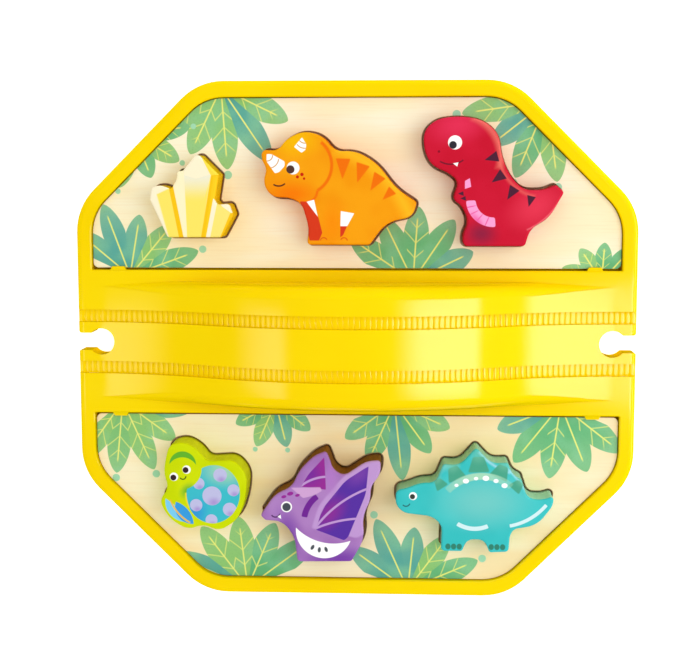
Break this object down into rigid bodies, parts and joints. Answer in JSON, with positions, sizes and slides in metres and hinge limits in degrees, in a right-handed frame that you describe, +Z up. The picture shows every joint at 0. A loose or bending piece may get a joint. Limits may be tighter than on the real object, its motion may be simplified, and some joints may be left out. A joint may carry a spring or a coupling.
{
  "type": "railway puzzle tray",
  "caption": "Low eight-sided tray for toddlers: a humped toy-railway track crosses it, and chunky animal and crystal puzzle pieces lift out of printed plywood boards.",
  "frame": {"origin": "on the floor under the middle of the tray", "axes": "+X along the track, +Y across the track towards the board with the crystal piece, +Z up"},
  "size_m": [0.279, 0.259, 0.042],
  "materials": {
    "yellow_plastic": "glossy moulded",
    "printed_birch": "clear-coated birch plywood with a leaf print",
    "plain_birch": "bare birch plywood",
    "screw_steel": "zinc plated",
    "pale_yellow_paint": "printed pale yellow top, painted edge",
    "orange_paint": "printed orange top, painted edge",
    "crimson_paint": "printed crimson top, painted edge",
    "lime_paint": "printed lime and teal top, painted edge",
    "purple_paint": "printed purple top, painted edge",
    "turquoise_paint": "printed turquoise top, painted edge"
  },
  "bodies": {
    "tray": {"tray_frame": "yellow_plastic", "upper_panel": "printed_birch", "upper_backing": "plain_birch", "lower_panel": "printed_birch", "lower_backing": "plain_birch", "board_screws": "screw_steel"},
    "crystal_piece": {"crystal_piece": "pale_yellow_paint"},
    "three_horn_piece": {"three_horn_piece": "orange_paint"},
    "big_head_piece": {"big_head_piece": "crimson_paint"},
    "hatchling_piece": {"hatchling_piece": "lime_paint"},
    "winged_piece": {"winged_piece": "purple_paint"},
    "plated_piece": {"plated_piece": "turquoise_paint"}
  },
  "joints": [
    {"name": "crystal_lift", "type": "slide", "parent": "tray", "child": "crystal_piece", "axis": [0, 0, 1], "range_m": [0, 0.05]},
    {"name": "three_horn_lift", "type": "slide", "parent": "tray", "child": "three_horn_piece", "axis": [0, 0, 1], "range_m": [0, 0.05]},
    {"name": "big_head_lift", "type": "slide", "parent": "tray", "child": "big_head_piece", "axis": [0, 0, 1], "range_m": [0, 0.05]},
    {"name": "hatchling_lift", "type": "slide", "parent": "tray", "child": "hatchling_piece", "axis": [0, 0, 1], "range_m": [0, 0.05]},
    {"name": "winged_lift", "type": "slide", "parent": "tray", "child": "winged_piece", "axis": [0, 0, 1], "range_m": [0, 0.05]},
    {"name": "plated_lift", "type": "slide", "parent": "tray", "child": "plated_piece", "axis": [0, 0, 1], "range_m": [0, 0.05]}
  ]
}
